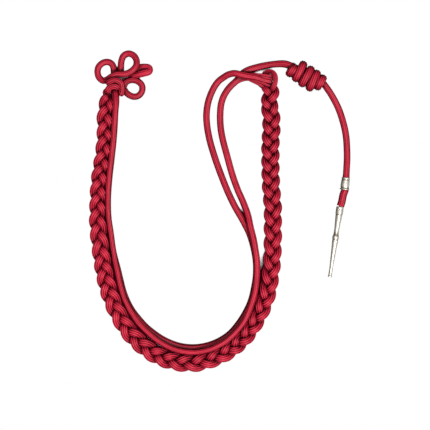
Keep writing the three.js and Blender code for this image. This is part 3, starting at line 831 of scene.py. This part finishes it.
# The rows with each corner cut round; a row is radius, along, dullness
def roundedProfile(rows, radius):
    rounded = [rows[0]]
    for before, corner, after in zip(rows, rows[1:], rows[2:]):
        ends = []
        for other in (before, after):
            away = math.hypot(other[0] - corner[0], other[1] - corner[1])
            share = min(radius / away, 0.45) if away else 0  # under half, so that two corners never meet
            ends.append([a + (b - a) * share for a, b in zip(corner, other)])
        for step in range(cornerSteps + 1):
            t = step / cornerSteps
            rounded.append(tuple((1 - t) ** 2 * a + 2 * t * (1 - t) * b + t * t * c
                                 for a, b, c in zip(ends[0], corner, ends[1])))
    return rounded + [rows[-1]]


def finelyCut(rows, gap):
    cut = [rows[0]]
    for before, after in zip(rows, rows[1:]):
        steps = max(1, math.ceil(math.hypot(after[0] - before[0], after[1] - before[1]) / gap))
        for step in range(1, steps + 1):
            cut.append(tuple(a + (b - a) * step / steps for a, b in zip(before, after)))
    return cut


# The radius and dullness at one place of a turned form; a dimple is angle, along, size, depth
def dimpled(radius, dark, angle, along, dimples):
    sunk = radius
    for dimpleAngle, dimpleAlong, size, depth in dimples:
        turn = (angle - dimpleAngle + math.pi) % (2 * math.pi) - math.pi
        reach = math.hypot(turn * radius, along - dimpleAlong) / size
        if reach < 1:
            sunk -= depth * (1 - reach * reach)
            dark = max(dark, 1 - reach)
    return sunk, dark


# A form turned round its own length, then tipped by an angle in radians and leaned by one in degrees
def turnedPiece(name, profile, sides, place, lean, tipped=0.0, dimples=()):
    hollow = profile[0] == profile[-1]
    if hollow:
        profile = profile[:-1]
    turning = Matrix.Rotation(math.radians(lean), 3, "Z") @ Matrix.Rotation(tipped, 3, "X")
    verts, dull, faces = [], [], []
    for radius, along, dark in profile:
        for side in range(sides):
            angle = 2 * math.pi * side / sides
            sunk, dullHere = dimpled(radius, dark, angle, along, dimples)
            around = Vector((sunk * math.cos(angle), along, -sunk * math.sin(angle)))
            verts.append(turning @ around + Vector(place))
            dull.append(dullHere)
    rows = len(profile)
    for row in range(rows if hollow else rows - 1):
        after = (row + 1) % rows * sides - row * sides
        for side in range(sides):
            a, b = row * sides + side, row * sides + (side + 1) % sides
            faces.append((a, b, b + after, a + after))
    if not hollow:
        faces.append(tuple(reversed(range(sides))))
        faces.append(tuple(range((rows - 1) * sides, rows * sides)))
    mesh = bpy.data.meshes.new(name)
    mesh.from_pydata(placed(verts, pendantStart), [], faces)
    mesh.attributes.new("dull", "FLOAT", "POINT").data.foreach_set("value", dull)
    mesh.shade_smooth()
    mesh.materials.append(nickel)
    piece = bpy.data.objects.new(name, mesh)
    scene.collection.objects.link(piece)
    return piece


def beadPiece():
    half = bead["length"] / 2
    shoulder = half - bead["flangeLength"]
    flange, barrel, neck, bore = (bead[name] / 2 for name in ("flange", "barrel", "neck", "bore"))
    rows = [  # radius, along, dullness
        (bore, -half + 0.4, 1.0), (bore + 0.3, -half, 0.6), (flange - 0.2, -half, 0.3),
        (flange, -half + 0.35, 0.1), (flange, -shoulder - 0.3, 0.1), (neck, -shoulder + 0.5, 0.9),
        (neck + 0.15, -shoulder + 1.0, 0.7), (barrel - 0.1, -shoulder + 2.2, 0.1), (barrel, -0.6, 0.0),
        (barrel - 0.2, 1.6, 0.0), (neck + 0.2, shoulder - 1.6, 0.4), (neck - 0.1, shoulder - 0.9, 0.9),
        (flange - 0.9, shoulder - 0.2, 0.2), (flange - 0.6, half - 0.5, 0.0), (flange - 0.9, half, 0.1),
        (bore + 0.3, half, 0.6), (bore, half - 0.4, 1.0),
    ]
    rows = roundedProfile(rows, bead["rounding"])
    profile = finelyCut(rows + [rows[0]], bead["cut"])
    return turnedPiece("slideBead", profile, bead["sides"], bead["centre"], bead["lean"])


def tipPiece():
    band, bulge, neck, end, rim, core = (
        tip[name] / 2 for name in ("band", "bulge", "neck", "end", "rim", "core"))
    rows = [  # radius, share of the length, dullness
        (core, -1, 0.3), (rim, -1, 0.3), (rim, -0.988, 0.1), (end, -0.972, 0.4), (end, -0.87, 0),
        (neck, -0.62, 0), (bulge * 0.9, -0.51, 0), (bulge * 0.93, -0.478, 0.1), (bulge * 0.86, -0.47, 0.6),
        (bulge, -0.455, 0.1), (bulge, -0.425, 0.1), (bulge * 0.86, -0.41, 0.9), (neck * 1.04, -0.385, 0.7),
        (neck, -0.33, 0), (band * 0.9, -0.13, 0.0), (band * 0.9, -0.112, 0.8), (band, -0.1, 0.2),
        (band, -0.012, 0.1), (band * 0.96, 0, 0.2), (band * 0.7, 0, 0.8), (core, -0.01, 1),
    ]
    rows = [(radius, share * tip["length"], dark) for radius, share, dark in rows]
    slope = (band - bulge) / ((tip["bulgeMiddle"] - tip["bandMiddle"]) * tip["length"])
    height = bulge + tip["bulgeMiddle"] * tip["length"] * slope + tip["clearance"]
    dimples = [(2 * math.pi * (k + tip["dimpleTurn"]) / tip["dimples"], tip["dimpleAt"] * tip["length"],
                tip["dimpleSize"], tip["dimpleDepth"]) for k in range(tip["dimples"])]
    profile = finelyCut(roundedProfile(rows, tip["rounding"]), tip["cut"])
    return turnedPiece("pendantTip", profile, tip["sides"], (*tip["top"], height), tip["lean"],
                       math.atan(slope), dimples)


beadObject = finished(beadPiece(), "nickel", "slide_bead")
tipObject = finished(tipPiece(), "nickel", "pendant_tip")
print("metal made")

# The free cords' lengths
lengthOf(outerPoints)
lengthOf(innerPoints)
lengthOf(pendantPoints)
